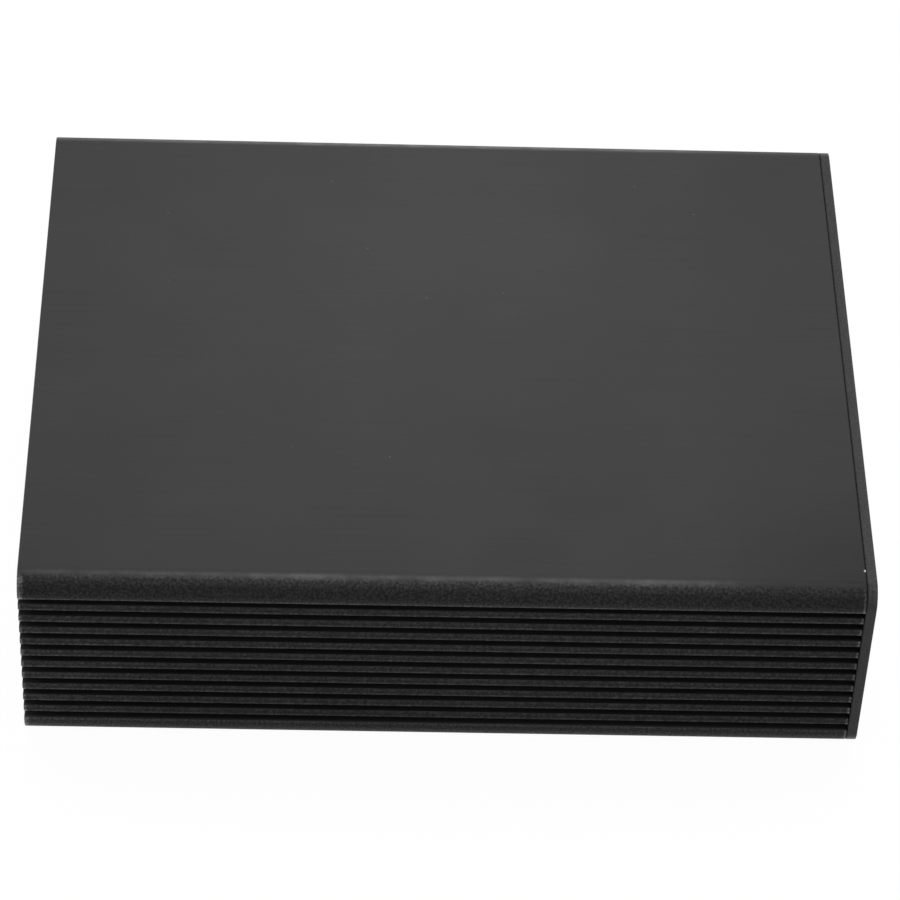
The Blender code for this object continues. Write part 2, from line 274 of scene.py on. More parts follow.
class EnclosureFinish(bpy.types.PropertyGroup):
    """Colours and surface texture of the black anodised metal, with the light, shade and
    highlights painted on it.
    """

    anodised: colour("Anodised Black", (0.069, 0.069, 0.0695), "Dyed oxide on the body")
    # The rounds' darker colour is partly their blasted finish and partly painted shade.
    rounds_blast_and_shade: share("Blasted Shade", 0.665, "Blasted ribs and rounds against the flat top")
    # The crest is partly rubbed metal and partly a painted highlight along the flats' rounded
    # border.
    crest_wear_and_highlight: level("Crest Shade", 1.75, "How much paler the flat top's rubbed border is")
    patch_size: length("Patch Size", 0.0022, "Size of the patches in the rubbed border")
    stretch_size: length("Stretch Size", 0.010, "Length over which the rubbed border varies")
    # The rims at the sawn ends are partly rubbed and partly a painted highlight.
    rim_wear_and_highlight: level("Rim Shade", 3.2, "How much paler the rims at the sawn ends are")
    open_rim_wear_and_highlight: level("Open Rim Shade", 4.3, "How much paler the open end's corners are")
    rim_width: length("Rim Width", 0.00044, "Width of the pale rims at the sawn ends")
    open_rim_width: length("Open Rim Width", 0.0008, "Width of the corners' rims at the open end")
    # Painted shade on the broken edges at the plate's seam.
    seam_painted_shade: share("Seam Shade", 0.3, "Broken edges at the plate's seam against the faces")
    seam_width: length("Seam Width", 0.00016, "Width of the dark edge on each side of the seam")
    # Painted highlights along the ribs' edges and on the band over the grooves.
    lower_edge_highlight: level("Lower Edge Shade", 2.5, "How much paler the ribs' lower edges are")
    upper_edge_highlight: level("Upper Edge Shade", 0.85, "How much paler the ribs' upper edges are")
    edge_width: length("Rubbed Edge Width", 0.00036, "Width of the rubbed edges of the ribs")
    mouth_highlight: level("Mouth Shade", 0.9, "How much paler the upper band is over the grooves")
    mouth_width: length("Mouth Width", 0.0009, "Height of the paler part over the grooves")
    # Painted light from the floor on the lower band's foot.
    foot_painted_light: level("Foot Shade", 2.3, "How much paler the foot of the lower band is")
    # Painted light and shade on the ribbed sides: darker ribs and grooves, paler lower ribs.
    rib_painted_shade: share("Rib Shade", 0.95, "The ribs against the other blasted rounds")
    ribs_painted_light_and_shade: share("Handled Shade", 0.32, "How much paler the lower ribs' open end is")
    low_rib_painted_light: share("Low Rib Shade", 0.08, "How much paler the lowest ribs are all along")
    groove_painted_shade: share("Groove Shade", 0.82, "The grooves' floors against the ribs' faces")
    plate_edge: colour("Plate Edge Black", (0.0315, 0.0315, 0.0318), "Oxide on the sheared edge")
    screw: colour("Screw Black", (0.028, 0.028, 0.029), "Black oxide on the screws")
    bare: colour("Bare Metal", (0.72, 0.72, 0.73), "Aluminium where the oxide is chipped")
    dust: colour("Dust", (0.115, 0.115, 0.113), "Dust grains caught on the top")
    roughness: share("Roughness", 0.50, "Roughness of the satin blasted oxide")
    specular: share("Specular", 0.05, "Specular level of the blasted oxide")
    edge_roughness: share("Edge Roughness", 0.36, "Roughness of the sheared plate edge")
    edge_specular: share("Edge Specular", 0.22, "Specular level of the plate and the screws")
    cloud_size: length("Cloud Size", 0.016, "Size of the soft clouds in the dye")
    cloud_depth: share("Cloud Depth", 0.05, "How much the clouds change the colour")
    line_size: length("Die Line Width", 0.00022, "Width of the faint lines along the body")
    line_depth: share("Die Line Depth", 0.05, "How much the lines change the colour")
    grain_size: length("Grain Size", 0.00031, "Size of a pit of the blasted surface")
    grain_height: length("Grain Height", 0.000060, "Height of the blasted surface's relief")
    flat_relief: share("Flat Relief", 0.18, "Relief left on the rubbed flat top")
    sawn_shade: level("Sawn Shade", 1.5, "How pale the sawn ends are against the blasted rounds")
    saw_depth: share("Saw Line Depth", 0.22, "How much the saw's lines change the ends' colour")
    sparkle: share("Grain Contrast", 0.045, "How much the grain changes the flats' colour")
    mottle: share("Blast Contrast", 0.62, "How much the grain changes the rounds' colour")
    streak_depth: share("Streak Depth", 0.28, "How much the streaks change the plate's edge")
    edge_grain: share("Edge Grain", 0.60, "How much the grain changes the plate's edge")


class EnclosureStudio(bpy.types.PropertyGroup):
    """Light, floor and camera."""

    floor_size: length("Floor Size", 12.0, "Side of the square floor")
    floor_bounce: share("Floor Bounce", 0.8, "Albedo of the floor for the light it returns")
    floor_shadow: share("Floor Shadow", 0.05, "Depth of the shadow that the floor shows")
    tent_level: level("Tent Level", 0.95, "Brightness of the light tent")
    front_level: level("Front Level", 0.14, "Brightness of the tent's dark opening")
    box_level: level("Soft Box Level", 2.5, "Radiance of the soft box")
    box_width: length("Soft Box Width", 0.60, "Soft box along X")
    box_depth: length("Soft Box Depth", 0.45, "Soft box across")
    box_height: length("Soft Box Height", 0.90, "Height of the soft box")
    box_back: length("Soft Box Back", 0.45, "How far behind the case the soft box hangs")
    lens: FloatProperty(
        name="Lens", description="Focal length on a 36 mm sensor", default=162.8, min=1
    )


def arc(centre, radius, start, sweep):
    """Points along an arc, both ends included."""
    step = 2 * math.acos(1 - CHORD_ERROR / radius)
    steps = max(2, math.ceil(abs(sweep) / step))
    angles = (start + sweep * index / steps for index in range(steps + 1))
    return [centre + radius * Vector((math.cos(angle), math.sin(angle))) for angle in angles]


def fillet(before, here, after, radius):
    """The arc of this radius that touches both straight sides that meet at a corner."""
    back = (before - here).normalized()
    ahead = (after - here).normalized()
    half_angle = back.angle(ahead) / 2
    centre = here + (back + ahead).normalized() * radius / math.sin(half_angle)
    first = here + back * radius / math.tan(half_angle) - centre
    last = here + ahead * radius / math.tan(half_angle) - centre
    sweep = math.atan2(first.cross(last), first.dot(last))
    return arc(centre, radius, math.atan2(first.y, first.x), sweep)


def rounded(corners, closed=False):
    """A line's points from (across, up, radius) corners, each rounded by its radius."""
    places = [Vector((across, up)) for across, up, radius in corners]
    points = []
    for index, here in enumerate(places):
        radius = corners[index][2]
        if not radius:
            points.append(here)
            continue
        after = places[(index + 1) % len(places)]
        points += fillet(places[index - 1], here, after, radius)
    return points, closed


def mirrored(corners, across=1, up=1):
    """Corners on the other side of one axis, in the order that keeps the line going round."""
    flipped = [(corner[0] * across, corner[1] * up, corner[2]) for corner in corners]
    return flipped if across * up > 0 else flipped[::-1]


def rib_pitch(sizes):
    return sizes.groove_width + sizes.rib_width


def band_level(sizes):
    """How far from mid-height the plain bands over and under the grooves begin."""
    return (sizes.groove_count - 1) / 2 * rib_pitch(sizes) + sizes.groove_width / 2


def rib_line(sizes):
    """One rib in section, from the middle of the groove below it to that of the one above."""
    floor = HALF_WIDTH - sizes.groove_depth
    face = HALF_WIDTH - sizes.rib_setback
    half = sizes.rib_width / 2
    upper = [
        (face, half, sizes.rib_edge_radius),
        (floor, half, sizes.groove_root_radius),
        (floor, rib_pitch(sizes) / 2, 0),
    ]
    return rounded(mirrored(upper, up=-1) + upper)


def band_lines(sizes):
    """The plain band over the top, from groove to groove, and the like band underneath."""
    floor = HALF_WIDTH - sizes.groove_depth
    mouth = band_level(sizes)
    right = [
        (floor, mouth - sizes.groove_width / 2, 0),
        (floor, mouth, sizes.groove_root_radius),
        (HALF_WIDTH, mouth, sizes.rib_edge_radius),
        (HALF_WIDTH, HALF_HEIGHT, sizes.corner_radius),
    ]
    top = right + mirrored(right, across=-1)
    return [rounded(top), rounded(mirrored(top, up=-1))]


def port_place(sizes):
    """The middle of the top right screw port, across and above mid-height."""
    radius = sizes.port_bore_radius + sizes.port_wall
    side = HALF_WIDTH - sizes.groove_depth - sizes.wall
    return side - radius + sizes.port_sink, HALF_HEIGHT - sizes.wall - radius + sizes.port_sink


def port_points(sizes):
    """The C-shaped screw port in the cavity's top right corner, from side wall to top wall."""
    bore = sizes.port_bore_radius
    radius = bore + sizes.port_wall
    centre = Vector(port_place(sizes))
    aside = radius - sizes.port_sink - sizes.port_fillet
    below = math.sqrt((radius + sizes.port_fillet) ** 2 - aside**2)
    nook = math.atan2(below, aside)
    outer_lip = math.asin(sizes.port_mouth / 2 / radius)
    inner_lip = math.asin(sizes.port_mouth / 2 / bore)
    side = 2 * math.pi - nook
    top = math.pi / 2 + nook
    arcs = (
        (centre + Vector((aside, -below)), sizes.port_fillet, 0, math.pi - nook),
        (centre, radius, side, PORT_SLIT + outer_lip - side),
        (centre, bore, PORT_SLIT + inner_lip, 2 * math.pi - 2 * inner_lip),
        (centre, radius, PORT_SLIT - outer_lip, top - PORT_SLIT + outer_lip),
        (centre + Vector((-below, aside)), sizes.port_fillet, nook - math.pi / 2, math.pi - nook),
    )
    return [(point.x, point.y, 0) for drawn_arc in arcs for point in arc(*drawn_arc)]


def rail_corners(sizes):
    """The cavity's right side between the ports, from the lowest board rail to the highest."""
    wall = HALF_WIDTH - sizes.groove_depth - sizes.wall
    tip = wall - sizes.rail_depth
    half = sizes.slot_width / 2
    corners = []
    for middle in (-sizes.slot_offset, sizes.slot_offset):
        for low in (middle - half - sizes.rail_thickness, middle + half):
            high = low + sizes.rail_thickness
            corners.append((wall, low, sizes.rail_root_radius))
            corners.append((tip, low, sizes.rail_edge_radius))
            corners.append((tip, high, sizes.rail_edge_radius))
            corners.append((wall, high, sizes.rail_root_radius))
    return corners


def cavity_line(sizes):
    """The hollow's outline: ports in its four corners, board slots between them."""
    port = port_points(sizes)
    right = mirrored(port, up=-1) + rail_corners(sizes) + port
    return rounded(right + mirrored(right, across=-1), closed=True)


def plate_line(sizes):
    right = [(HALF_WIDTH, up, sizes.corner_radius) for up in (HALF_HEIGHT, -HALF_HEIGHT)]
    return rounded(right + mirrored(right, across=-1), closed=True)


def placed(name, data):
    """A new object with this data, in the scene."""
    obj = bpy.data.objects.new(name, data)
    bpy.context.scene.collection.objects.link(obj)
    return obj


def drawn(name, lines):
    """A curve object that holds these lines in its own X and Y."""
    curve = bpy.data.curves.new(name, "CURVE")
    curve.dimensions = "3D"
    for points, closed in lines:
        spline = curve.splines.new("POLY")
        spline.points.add(len(points) - 1)
        for target, point in zip(spline.points, points):
            target.co = (point.x, point.y, 0, 1)
        spline.use_cyclic_u = closed
    return placed(name, curve)


def meshed(name, work):
    """The object of a mesh that was built in bmesh."""
    mesh = bpy.data.meshes.new(name)
    work.to_mesh(mesh)
    work.free()
    return placed(name, mesh)


def turned(name, profile, steps):
    """A closed mesh turned about Z, from (radius, height) points that begin and end on Z."""
    work = bmesh.new()
    rings = []
    for radius, height in profile:
        angles = [2 * math.pi * step / steps for step in range(steps)] if radius else [0]
        rings.append(
            [work.verts.new((radius * math.cos(a), radius * math.sin(a), height)) for a in angles]
        )
    for upper, lower in zip(rings, rings[1:]):
        for step in range(steps):
            after = (step + 1) % steps
            corners = [upper[step % len(upper)], lower[step % len(lower)]]
            corners += [lower[after % len(lower)], upper[after % len(upper)]]
            work.faces.new(list(dict.fromkeys(corners)))
    return meshed(name, work)


class Value:
    """An output in a node tree. Python's signs on it make Math nodes."""

    def __init__(self, socket):
        self.socket = socket
        self.tree = socket.id_data

    def __add__(self, other):
        return maths("ADD", self, other)

    def __sub__(self, other):
        return maths("SUBTRACT", self, other)

    def __rsub__(self, other):
        return maths("SUBTRACT", other, self)

    def __mul__(self, other):
        return maths("MULTIPLY", self, other)

    def __truediv__(self, other):
        return maths("DIVIDE", self, other)

    def __lt__(self, other):
        return maths("LESS_THAN", self, other)

    def __gt__(self, other):
        return maths("GREATER_THAN", self, other)

    def __abs__(self):
        return maths("ABSOLUTE", self)

    __radd__ = __add__
    __rmul__ = __mul__

    def ramp(self, low, high, start=0.0, end=1.0, **settings):
        """A value from start to end as this one goes from low to high."""
        ends = {0: self, 1: low, 2: high, 3: start, 4: end}
        return value_of(self.tree, "ShaderNodeMapRange", ends, **settings)


def node(tree, kind, inputs=None, **settings):
    """A node with its settings, and with the numbers and values that feed it."""
    made = tree.nodes.new(kind)
    for name, setting in settings.items():
        setattr(made, name, setting)
    for key, fed in (inputs or {}).items():
        if isinstance(fed, Value):
            tree.links.new(fed.socket, made.inputs[key])
        else:
            made.inputs[key].default_value = fed
    return made


def value_of(tree, kind, inputs=None, **settings):
    """The first output of a new node."""
    return Value(node(tree, kind, inputs, **settings).outputs[0])


def maths(operation, first, second=0.0):
    tree = (first if isinstance(first, Value) else second).tree
    return value_of(tree, "ShaderNodeMath", {0: first, 1: second}, operation=operation)


def vector_maths(operation, first, second=(0, 0, 0), output="Vector"):
    key = "Scale" if operation == "SCALE" else 1
    fed = {0: first, key: second}
    made = node(first.tree, "ShaderNodeVectorMath", fed, operation=operation)
    return Value(made.outputs[output])


def axes(vector):
    """A vector's three parts."""
    split = node(vector.tree, "ShaderNodeSeparateXYZ", {"Vector": vector})
    return [Value(output) for output in split.outputs]


def titled(key):
    return key.replace("_", " ").title()


def geometry_tree(name, **inputs):
    """A geometry tree, the values of its inputs by their keys, and its output node."""
    tree = bpy.data.node_groups.new(name, "GeometryNodeTree")
    inputs = {"geometry": "Geometry", **inputs}
    for key, kind in inputs.items():
        socket_type = "NodeSocket" + kind
        tree.interface.new_socket(titled(key), in_out="INPUT", socket_type=socket_type)
    tree.interface.new_socket("Geometry", in_out="OUTPUT", socket_type="NodeSocketGeometry")
    group = node(tree, "NodeGroupInput")
    given = {key: Value(group.outputs[titled(key)]) for key in inputs}
    return tree, given, node(tree, "NodeGroupOutput")


def set_inputs(modifier, **values):
    """Sets a geometry modifier's inputs by their sockets' identifiers."""
    sockets = {
        item.name: item.identifier
        for item in modifier.node_group.interface.items_tree
        if item.item_type == "SOCKET" and item.in_out == "INPUT"
    }
    for key, value in values.items():
        modifier[sockets[titled(key)]] = value


def joined(tree, *parts):
    join = node(tree, "GeometryNodeJoinGeometry")
    for part in reversed(parts):
        tree.links.new(part.socket, join.inputs[0])
    return Value(join.outputs[0])


def merged(tree, *parts):
    """The parts as one, with the points where they meet made one."""
    fed = {"Geometry": joined(tree, *parts), "Distance": WELD}
    return value_of(tree, "GeometryNodeMergeByDistance", fed)


def shape_of(tree, given_object):
    """The geometry of an object that the tree is given."""
    info = node(tree, "GeometryNodeObjectInfo", {"Object": given_object})
    return Value(info.outputs["Geometry"])


def cut(tree, blank, cutter):
    """The blank with the cutter's shape taken out of it."""
    fed = {"Mesh 1": blank, "Mesh 2": cutter}
    return value_of(
        tree, "GeometryNodeMeshBoolean", fed, operation="DIFFERENCE", solver="EXACT"
    )


# The inputs of the section tree, which the trees that hold it have as well
RUN_INPUTS = {"length": "Float", "edge_round": "Float", "edge_steps": "Int"}


def section_tree():
    """Runs closed section lines back from Z = 0 into a solid with rounded end edges.

    Lines round the metal run clockwise, and lines round a hollow the other way, so that their
    normals point into the metal.
    """
    tree, given, result = geometry_tree("Section Run", **RUN_INPUTS)
    fed = {"Curve": given["geometry"]}
    lines = value_of(tree, "GeometryNodeSetCurveNormal", fed, mode="Z_UP")
    fed = {"Curve": lines, "Profile Curve": edge_profile(tree, given)}
    skin = value_of(
        tree, "GeometryNodeFlipFaces", {"Mesh": value_of(tree, "GeometryNodeCurveToMesh", fed)}
    )
    normal = value_of(tree, "GeometryNodeInputNormal")
    inward = vector_maths("SCALE", normal, given["edge_round"])
    moved = value_of(tree, "GeometryNodeSetPosition", {"Geometry": lines, "Offset": inward})
    near_end = value_of(tree, "GeometryNodeFillCurve", {"Curve": moved}, mode="TRIANGLES")
    flipped = value_of(tree, "GeometryNodeFlipFaces", {"Mesh": near_end})
    shift = value_of(tree, "ShaderNodeCombineXYZ", {"Z": given["length"] * -1})
    far_end = value_of(
        tree, "GeometryNodeTransform", {"Geometry": flipped, "Translation": shift}
    )
    tree.links.new(merged(tree, skin, near_end, far_end).socket, result.inputs[0])
    return tree


def edge_profile(tree, given):
    """The line that a section is swept with: the length, and a quarter round at each end."""
    inset, run = given["edge_round"], given["length"]
    places = ({"X": inset}, {}, {"Y": run}, {"X": inset, "Y": run})
    corners = {
        f"Point {number}": value_of(tree, "ShaderNodeCombineXYZ", place)
        for number, place in enumerate(places, 1)
    }
    closed = value_of(tree, "GeometryNodeCurvePrimitiveQuadrilateral", corners, mode="POINTS")
    fed = {"Geometry": closed, "Cyclic": False}
    opened = value_of(tree, "GeometryNodeSetSplineCyclic", fed)
    fed = {"Curve": opened, "Count": given["edge_steps"], "Radius": inset}
    return value_of(tree, "GeometryNodeFilletCurve", fed, mode="POLY")


def section_run(tree, given, lines, section):
    """The section tree as a node, fed with the lines and with the outer tree's own inputs."""
    fed = {titled(key): given[key] for key in RUN_INPUTS}
    return value_of(tree, "GeometryNodeGroup", {"Geometry": lines, **fed}, node_tree=section)


def finish_tree(tree, given, result, solid):
    """Ends a tree with the solid's instances made real and with its material."""
    real = value_of(tree, "GeometryNodeRealizeInstances", {"Geometry": solid})
    fed = {"Geometry": real, "Material": given["finish"]}
    tree.links.new(value_of(tree, "GeometryNodeSetMaterial", fed).socket, result.inputs[0])


def body_tree(section):
    """The body: ribs repeated up both sides between the plain bands, and the hollow inside."""
    tree, given, result = geometry_tree(
        "Ribbed Extrusion",
        rib="Object",
        ribs="Int",
        rib_pitch="Float",
        **RUN_INPUTS,
        finish="Material",
    )
    is_hollow = value_of(tree, "GeometryNodeInputSplineCyclic")
    fed = {"Geometry": given["geometry"], "Selection": is_hollow}
    lines = node(tree, "GeometryNodeSeparateGeometry", fed, domain="CURVE")
    hollow, bands = (Value(output) for output in lines.outputs)
    bands = value_of(tree, "GeometryNodeCurveToMesh", {"Curve": bands})
    outside = merged(tree, bands, rib_rows(tree, given))
    loop = value_of(tree, "GeometryNodeMeshToCurve", {"Mesh": outside})
    ring = value_of(tree, "GeometryNodeReverseCurve", {"Curve": loop})
    solid = section_run(tree, given, joined(tree, ring, hollow), section)
    finish_tree(tree, given, result, solid)
    return tree


def rib_rows(tree, given):
    """The rib's line set out on both sides, the left one turned over, as one mesh of edges."""
    first = (given["ribs"] - 1) * -0.5 * given["rib_pitch"]
    start = value_of(tree, "ShaderNodeCombineXYZ", {"Y": first})
    step = value_of(tree, "ShaderNodeCombineXYZ", {"Y": given["rib_pitch"]})
    fed = {"Count": given["ribs"], "Start Location": start, "Offset": step}
    row = value_of(tree, "GeometryNodeMeshLine", fed)
    edges = value_of(tree, "GeometryNodeCurveToMesh", {"Curve": shape_of(tree, given["rib"])})
    sides = []
    for across in (1, -1):
        fed = {"Points": row, "Instance": edges, "Scale": (across, 1, 1)}
        sides.append(value_of(tree, "GeometryNodeInstanceOnPoints", fed))
    return value_of(tree, "GeometryNodeRealizeInstances", {"Geometry": joined(tree, *sides)})


def plate_tree(section):
    """The end plate: a flat section with a countersunk hole at each screw."""
    tree, given, result = geometry_tree(
        "Screwed Plate",
        countersink="Object",
        hole_across="Float",
        hole_up="Float",
        **RUN_INPUTS,
        finish="Material",
    )
    blank = section_run(tree, given, given["geometry"], section)
    sides = {"Size X": given["hole_across"] * 2, "Size Y": given["hole_up"] * 2}
    corners = {"Vertices X": 2, "Vertices Y": 2}
    places = value_of(tree, "GeometryNodeMeshGrid", {**sides, **corners})
    fed = {"Points": places, "Instance": shape_of(tree, given["countersink"])}
    cutters = value_of(tree, "GeometryNodeInstanceOnPoints", fed)
    finish_tree(tree, given, result, cut(tree, blank, cutters))
    return tree


def screw_tree():
    """A screw's thread: the shank's wall is raised along a helix that runs out at both ends."""
    tree, given, result = geometry_tree(
        "Thread",
        recess="Object",
        thread_pitch="Float",
        thread_height="Float",
        thread_top="Float",
        thread_end="Float",
        shank_radius="Float",
        finish="Material",
    )
    driven = cut(tree, given["geometry"], shape_of(tree, given["recess"]))
    place = value_of(tree, "GeometryNodeInputPosition")
    across, up, height = axes(place)
    turn = maths("ARCTAN2", up, across) / (2 * math.pi)
    phase = maths("FRACT", height / given["thread_pitch"] - turn)
    ridge = abs(phase - 0.5).ramp(*THREAD_RIDGE, 1.0, 0.0)
    room = maths("MINIMUM", given["thread_top"] - height, height - given["thread_end"])
    lift = ridge * room.ramp(0, given["thread_pitch"]) * given["thread_height"]
    flat = vector_maths("MULTIPLY", place, (1, 1, 0))
    offset = vector_maths("SCALE", vector_maths("NORMALIZE", flat), lift)
    out_far = vector_maths("LENGTH", flat, output="Value")
    fed = {0: out_far, 1: given["shank_radius"], "Epsilon": ON_SHANK}
    on_wall = value_of(tree, "FunctionNodeCompare", fed, operation="EQUAL")
    fed = {"Geometry": driven, "Selection": on_wall, "Offset": offset}
    finish_tree(tree, given, result, value_of(tree, "GeometryNodeSetPosition", fed))
    return tree


def grown(obj, name, tree, place, **values):
    """The plain mesh that a node tree makes of a drawn object, moved to its place in the case."""
    modifier = obj.modifiers.new(tree.name, "NODES")
    modifier.node_group = tree
    set_inputs(modifier, **values)
    mesh = evaluated(obj)
    mesh.transform(place)
    mesh.shade_smooth()
    mesh.set_sharp_from_angle(angle=SMOOTH_UNDER)
    bpy.data.objects.remove(obj, do_unlink=True)
    piece = placed(name, mesh)
    flats = piece.modifiers.new("Flat Faces Stay Flat", "WEIGHTED_NORMAL")
    flats.keep_sharp = True
    piece.data = evaluated(piece)
    piece.data.name = name
    piece.modifiers.clear()
    bpy.data.meshes.remove(mesh)
    return piece


def evaluated(obj):
    """The plain mesh that an object's modifiers make of it."""
    graph = bpy.context.evaluated_depsgraph_get()
    return bpy.data.meshes.new_from_object(obj.evaluated_get(graph))


def settle(piece, node_name):
    """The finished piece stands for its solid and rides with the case."""
    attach(piece, BODY)
    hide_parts(node_name)


class Metal:
    """A new material, where a point of it is on the case, how it faces, and its grain."""

    def __init__(self, name, sizes, finish):
        self.sizes = sizes
        self.finish = finish
        self.material = bpy.data.materials.new(name)
        self.material.use_nodes = True
        self.tree = self.material.node_tree
        self.coordinates = node(self.tree, "ShaderNodeTexCoord")
        self.place = Value(self.coordinates.outputs["Object"])
        self.grain = noise(self.place, finish.grain_size, detail=3)

    @cached_property
    def spot(self):
        """The point's place along, back and up."""
        return axes(self.place)

    @cached_property
    def facing(self):
        """How far the surface's normal lies along, across and upright, either way."""
        return [abs(part) for part in axes(Value(self.coordinates.outputs["Normal"]))]

    def finished(self, paint, roughness, specular, relief, height):
        """The material, once its shader has its paint, roughness, gloss and relief."""
        fed = {"Strength": 1.0, "Distance": height, "Height": relief}
        bump = value_of(self.tree, "ShaderNodeBump", fed)
        shader = self.tree.nodes["Principled BSDF"]
        shader.inputs["Specular IOR Level"].default_value = specular
        for name, value in (("Base Color", paint), ("Roughness", roughness), ("Normal", bump)):
            self.tree.links.new(value.socket, shader.inputs[name])
        return self.material


def noise(place, size, detail):
    fed = {"Vector": place, "Scale": 1 / size, "Detail": detail}
    return value_of(place.tree, "ShaderNodeTexNoise", fed)


def lined(place, *fineness):
    """Noise that is drawn out into lines, by how fine it is along each axis."""
    fed = {"Vector": place, "Scale": fineness}
    return noise(value_of(place.tree, "ShaderNodeMapping", fed), 1, detail=3)


def swing(value, depth):
    """A noise value as a change round nought, of this depth each way."""
    return value.ramp(*NOISE_SPREAD, -depth, depth)


def distance(place, centre):
    return vector_maths("DISTANCE", place, centre, "Value")


def tinted(tint, shade):
    """A colour made lighter and darker by a shade round one."""
    fed = {0: tint, "Scale": shade}
    return value_of(shade.tree, "ShaderNodeVectorMath", fed, operation="SCALE")


def mixed(factor, first, second):
    """Two colours mixed, by the second one's share."""
    fed = {"Factor": factor, "A": first, "B": second}
    return Value(node(factor.tree, "ShaderNodeMix", fed, data_type="RGBA").outputs[2])


def spotted(metal, paint, centre, radius, tint):
    """The paint with one soft-edged spot of another colour."""
    inside = distance(metal.place, centre).ramp(radius, radius * SPOT_CORE)
    return mixed(inside, paint, (*tint, 1))


def uneven(metal, roughness):
    """A roughness that goes a little up and down with the grain."""
    least, most = roughness - ROUGHNESS_CHANGE, roughness + ROUGHNESS_CHANGE
    return metal.grain.ramp(*ROUGHNESS_SPREAD, least, most)


def oxide_shade(metal):
    """The dye's light and dark: soft clouds, fine lines along the body and grain."""
    finish = metal.finish
    fine = 1 / finish.line_size
    lines = swing(lined(metal.place, fine / DIE_LINE_LENGTH, fine, fine), finish.line_depth)
    clouds = swing(noise(metal.place, finish.cloud_size, detail=4), finish.cloud_depth)
    return 1 + swing(metal.grain, finish.sparkle) + lines + clouds


def painted_pool_and_patches(metal, flat):
    """A painted pool of light round the top's middle, and the darker patches on the top."""
    away = distance(metal.place, PAINTED_POOL_PLACE)
    shade = away.ramp(0, PAINTED_POOL_REACH, 1 + PAINTED_POOL_CHANGE / 2, 1 - PAINTED_POOL_CHANGE / 2)
    for along, back, reach, middle in DARK_PATCHES:
        away = distance(metal.place, (along, back, BODY_HIGH.z))
        shade = shade * flat.ramp(0, 1, 1, away.ramp(0, reach, middle))
    return shade


def crest_wear_and_highlight(metal, upright):
    """The paler borders of the flat top and base, which come and go along the body: partly rubbed
    metal, partly a painted highlight where the flats turn into the rounds.
    """
    finish = metal.finish
    along = metal.spot[0]
    outer = upright.ramp(*CREST_OUTER)
    inner = metal.facing[2].ramp(*CREST_INNER)
    patches = noise(metal.place, finish.patch_size, detail=4).ramp(*CREST_PATCHES)
    stretches = noise(metal.place, finish.stretch_size, detail=2).ramp(*CREST_STRETCHES)
    ends = along.ramp(*OPEN_END_FADE) * along.ramp(*PLATE_END_FADE)
    crest = maths("MINIMUM", outer, inner) * patches * stretches * ends
    return crest.ramp(0, 1, 1, 1 + finish.crest_wear_and_highlight)


def rim_wear_and_highlight(metal, upright):
    """The pale rims at the sawn ends, widest and palest on the open end's front corners: partly
    rubbed metal, partly a painted highlight on the broken edges.
    """
    finish = metal.finish
    along, back, up = metal.spot
    half = (BODY_HIGH.x - BODY_LOW.x) / 2
    from_middle = abs(along - (BODY_LOW.x + BODY_HIGH.x) / 2)
    inside, outside = half - finish.rim_width, half - finish.rim_width / 2
    rim = from_middle.ramp(inside, outside, 0, finish.rim_wear_and_highlight) * upright.ramp(*RIM_START)
    inside, outside = (BODY_LOW.x + finish.open_rim_width * depth for depth in (1, 0.25))
    height = up - MID_HEIGHT
    band = band_level(metal.sizes)
    open_rim = (
        along.ramp(inside, outside, 0, finish.open_rim_wear_and_highlight)
        * (abs(height) > band)
        * (back < 0)
        * height.ramp(-band, band, LOWER_RIM_SHARE)
        * upright.ramp(*OPEN_RIM_START)
    )
    return 1 + maths("MAXIMUM", rim, open_rim)


def seam_painted_shade(away, finish):
    """Painted shade on the edges on both sides of the plate's seam, told by the distance from
    them.
    """
    return away.ramp(finish.seam_width / 2, finish.seam_width, finish.seam_painted_shade)


def sawn_shade(metal, ends):
    """The body's sawn ends, with the fine upright lines that the saw left."""
    finish = metal.finish
    fine = 1 / finish.line_size
    lines = swing(lined(metal.place, fine, fine, fine / SAW_LINE_LENGTH), finish.saw_depth)
    return (1 + lines * ends) * ends.ramp(0, 1, 1, finish.sawn_shade)


def foot_painted_light(metal, curved):
    """The lower band, with painted light from the floor that grows towards its foot."""
    shade = metal.finish.foot_painted_light
    along, back, up = metal.spot
    height = up - BODY_LOW.z
    outside = abs(back) > HALF_WIDTH - FOOT_DEPTH
    paler = height.ramp(*LOW_BAND_FADE, shade * FOOT_LEAST, shade)
    return 1 + paler * outside * (height < LOW_BAND_TOP) * curved


def ribs_painted_light_and_shade(metal, curved):
    """The ribbed sides: painted light on the lower ribs at the open end and on the lowest ribs all
    along, and painted shade on the ribs and in the grooves.
    """
    sizes, finish = metal.sizes, metal.finish
    along, back, up = metal.spot
    height = up - BODY_LOW.z
    band = band_level(sizes)
    under_mouth = height < HALF_HEIGHT + band
    over_foot = height > HALF_HEIGHT - band
    most = finish.ribs_painted_light_and_shade
    open_end_light = (
        along.ramp(*OPEN_END_LIGHT_LENGTH, 1, 0)
        * height.ramp(*OPEN_END_LIGHT_HEIGHT, most * OPEN_END_LIGHT_LEAST, most)
        * (back < 0)
        * over_foot.ramp(0, 1, OPEN_END_LIGHT_FOOT)
    )
    low = height.ramp(*LOW_RIBS, 0, finish.low_rib_painted_light)
    paler = (open_end_light + low) * curved * under_mouth
    face = HALF_WIDTH - sizes.rib_setback
    deep = abs(back).ramp(face - sizes.groove_depth / 2, face, finish.groove_painted_shade)
    ribbed = (abs(back) > face - sizes.groove_depth) * under_mouth * over_foot
    ribs = (ribbed * curved).ramp(0, 1, 1, finish.rib_painted_shade)
    return (1 + paler) * ribbed.ramp(0, 1, 1, deep) * ribs


